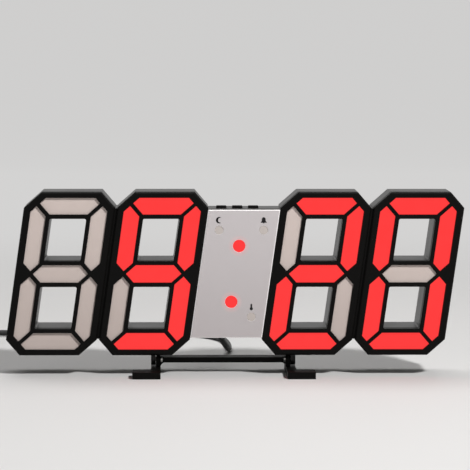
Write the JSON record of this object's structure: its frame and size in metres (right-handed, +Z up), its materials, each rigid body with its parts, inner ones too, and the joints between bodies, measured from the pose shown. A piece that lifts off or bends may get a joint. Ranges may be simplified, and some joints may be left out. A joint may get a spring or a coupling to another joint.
{
  "type": "digital led desk clock",
  "caption": "Desk clock with slanted, see-through seven-segment LED digits either side of a colon panel, on a low hinged stand, with a plug-in USB supply lead.",
  "frame": {"origin": "on the table, under the middle of the stand's rails and of the case's width", "axes": "+X across the face to the viewer's right, +Y from the face towards the back, +Z up"},
  "size_m": [0.284, 0.1725, 0.086],
  "materials": {
    "black_plastic": "satin",
    "panel_plastic": "satin",
    "lens_lit": "lit diffuser",
    "lens_unlit": "milky",
    "white_plastic": "matte",
    "circuit_board": "lacquered",
    "lamp_resin": "clear resin",
    "chip_black": "moulded",
    "lead_plastic": "ribbon",
    "steel": "plated",
    "cord_black": "satin"
  },
  "bodies": {
    "case": {"front_frame": "black_plastic", "rear_cover": "black_plastic", "centre_panel": "panel_plastic", "colon_lenses": "lens_lit", "indicator_lenses": "lens_unlit", "hour_tens_lenses_unlit": "lens_unlit", "hour_units_lenses_lit": "lens_lit", "hour_units_lenses_unlit": "lens_unlit", "minute_tens_lenses_lit": "lens_lit", "minute_tens_lenses_unlit": "lens_unlit", "minute_units_lenses_lit": "lens_lit", "minute_units_lenses_unlit": "lens_unlit", "main_board": "circuit_board", "panel_lamps": "lamp_resin", "clock_chip": "chip_black", "timing_crystal": "steel", "buzzer": "chip_black", "temperature_sensor": "chip_black", "push_switches": "chip_black", "link_leads": "lead_plastic", "case_screws": "steel", "board_screws": "steel", "cell_holder": "chip_black", "backup_cell": "steel", "supply_socket": "chip_black", "hinge_pins": "steel", "plug_barrel": "steel", "supply_plug": "cord_black", "power_cord": "cord_black", "cord_coil": "cord_black", "cord_tie": "black_plastic", "usb_plug": "cord_black", "usb_shell": "steel", "hour_tens_light_box": "white_plastic", "hour_tens_lamp_board": "circuit_board", "hour_tens_lamps": "lamp_resin", "hour_units_light_box": "white_plastic", "hour_units_lamp_board": "circuit_board", "hour_units_lamps": "lamp_resin", "minute_tens_light_box": "white_plastic", "minute_tens_lamp_board": "circuit_board", "minute_tens_lamps": "lamp_resin", "minute_units_light_box": "white_plastic", "minute_units_lamp_board": "circuit_board", "minute_units_lamps": "lamp_resin"},
    "stand": {"stand": "black_plastic"},
    "set_button": {"set_button": "black_plastic"},
    "up_button": {"up_button": "black_plastic"},
    "down_button": {"down_button": "black_plastic"},
    "cell_door": {"cell_door": "black_plastic"}
  },
  "joints": [
    {"name": "stand_tilt", "type": "hinge", "parent": "case", "child": "stand", "pos_m": [-0.00535, 0.004, 0.0065], "axis": [1, 0, 0], "range_deg": [-10, 12]},
    {"name": "cell_door_slide", "type": "slide", "parent": "case", "child": "cell_door", "axis": [0, 0, -1], "range_m": [0, 0.015]},
    {"name": "set_press", "type": "slide", "parent": "case", "child": "set_button", "axis": [0, 0, -1], "range_m": [0, 0.0006], "stiffness_N_per_m": 1500},
    {"name": "up_press", "type": "slide", "parent": "case", "child": "up_button", "axis": [0, 0, -1], "range_m": [0, 0.0006], "stiffness_N_per_m": 1500},
    {"name": "down_press", "type": "slide", "parent": "case", "child": "down_button", "axis": [0, 0, -1], "range_m": [0, 0.0006], "stiffness_N_per_m": 1500}
  ]
}
